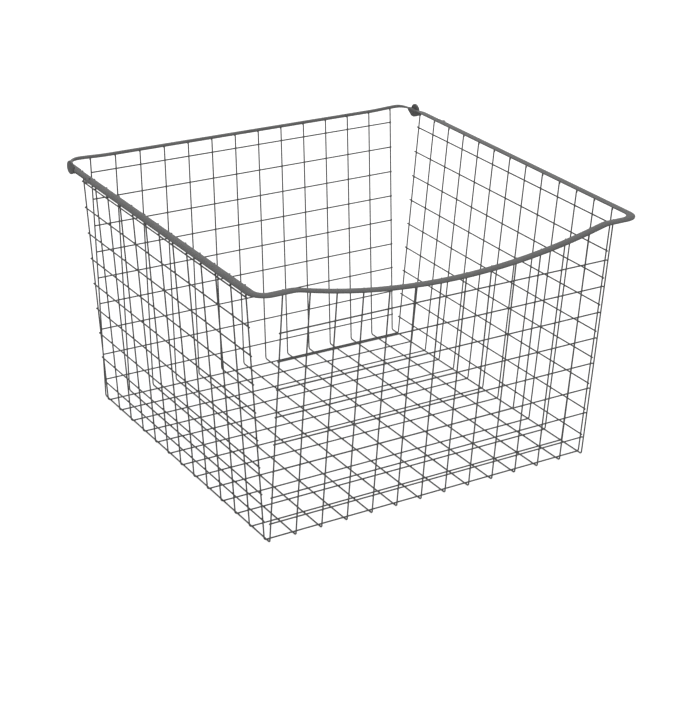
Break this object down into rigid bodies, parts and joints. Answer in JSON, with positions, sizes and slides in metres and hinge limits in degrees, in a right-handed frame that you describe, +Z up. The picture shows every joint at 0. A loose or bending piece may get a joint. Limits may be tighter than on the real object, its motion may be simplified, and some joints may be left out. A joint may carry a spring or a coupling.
{
  "type": "wire basket",
  "caption": "Deep wire mesh basket with leaning walls, a scooped front and a flattened rim that slides in side runners, with a roller at each rear corner.",
  "frame": {"origin": "middle of the underside, on the plane that the floor wires rest on", "axes": "+Z up, -Y towards the scooped front, +X towards the right seen from the front"},
  "size_m": [0.4542, 0.4362, 0.2843],
  "materials": {
    "rim": "satin grey coat on steel",
    "wire": "satin grey coat on steel wire",
    "hub": "moulded grey plastic",
    "roller": "moulded grey plastic",
    "cap": "pressed steel cap"
  },
  "bodies": {
    "basket": {"rim_strip": "rim", "rear_rod": "rim", "long_wire_01": "wire", "long_wire_02": "wire", "long_wire_03": "wire", "long_wire_04": "wire", "long_wire_05": "wire", "long_wire_06": "wire", "long_wire_07": "wire", "long_wire_08": "wire", "long_wire_09": "wire", "long_wire_10": "wire", "long_wire_11": "wire", "long_wire_12": "wire", "long_wire_13": "wire", "long_wire_14": "wire", "cross_wire_01": "wire", "cross_wire_02": "wire", "cross_wire_03": "wire", "cross_wire_04": "wire", "cross_wire_05": "wire", "cross_wire_06": "wire", "cross_wire_07": "wire", "cross_wire_08": "wire", "cross_wire_09": "wire", "cross_wire_10": "wire", "cross_wire_11": "wire", "cross_wire_12": "wire", "cross_wire_13": "wire", "front_row_01": "wire", "front_row_02": "wire", "front_row_03": "wire", "front_row_04": "wire", "front_row_05": "wire", "front_row_06": "wire", "front_row_07": "wire", "front_row_08": "wire", "back_row_01": "wire", "back_row_02": "wire", "back_row_03": "wire", "back_row_04": "wire", "back_row_05": "wire", "back_row_06": "wire", "back_row_07": "wire", "back_row_08": "wire", "back_row_09": "wire", "left_rows": "wire", "right_rows": "wire", "left_hub": "hub", "right_hub": "hub", "left_cap": "cap", "right_cap": "cap"},
    "left_roller": {"left_roller": "roller"},
    "right_roller": {"right_roller": "roller"}
  },
  "joints": [
    {"name": "left_roller_spin", "type": "hinge", "parent": "basket", "child": "left_roller", "pos_m": [-0.2201, 0.1982, 0.2768], "axis": [1, 0, 0], "continuous": true},
    {"name": "right_roller_spin", "type": "hinge", "parent": "basket", "child": "right_roller", "pos_m": [0.2201, 0.1982, 0.2768], "axis": [1, 0, 0], "continuous": true}
  ]
}
